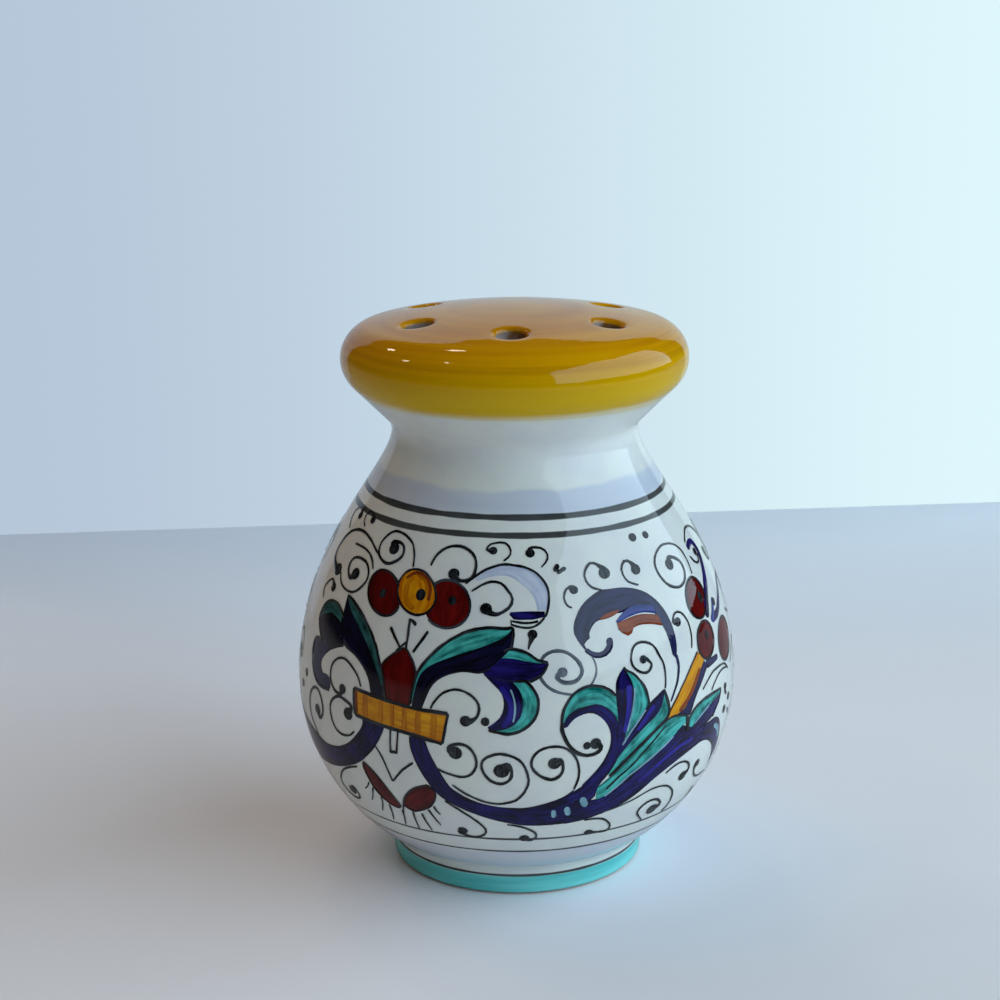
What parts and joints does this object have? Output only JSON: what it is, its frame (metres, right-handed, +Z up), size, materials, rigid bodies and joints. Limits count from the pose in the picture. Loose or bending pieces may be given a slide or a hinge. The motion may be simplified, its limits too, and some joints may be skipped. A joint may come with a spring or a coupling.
{
  "type": "parmesan shaker",
  "caption": "Pot-bellied glazed earthenware cheese shaker with a flared, domed, pierced cap, a turned foot and a soft pull-out stopper that closes the filling hole in its base.",
  "frame": {"origin": "middle of the foot, on the plane that the shaker stands on", "axes": "+Z up along the axis of the pot; -Y towards the painted front, with one sprinkle hole over it; +X to the right of a viewer at the front"},
  "size_m": [0.0864, 0.0864, 0.1105],
  "materials": {
    "glazed_earthenware": "gloss tin glaze with painted ornament, amber cap and turquoise foot",
    "stopper_rubber": "matt, slightly translucent off-white rubber"
  },
  "bodies": {
    "pot": {"ceramic_body": "glazed_earthenware"},
    "stopper": {"base_stopper": "stopper_rubber"}
  },
  "joints": [
    {"name": "stopper_pull", "type": "slide", "parent": "pot", "child": "stopper", "axis": [0, 0, -1], "range_m": [0, 0.04]}
  ]
}
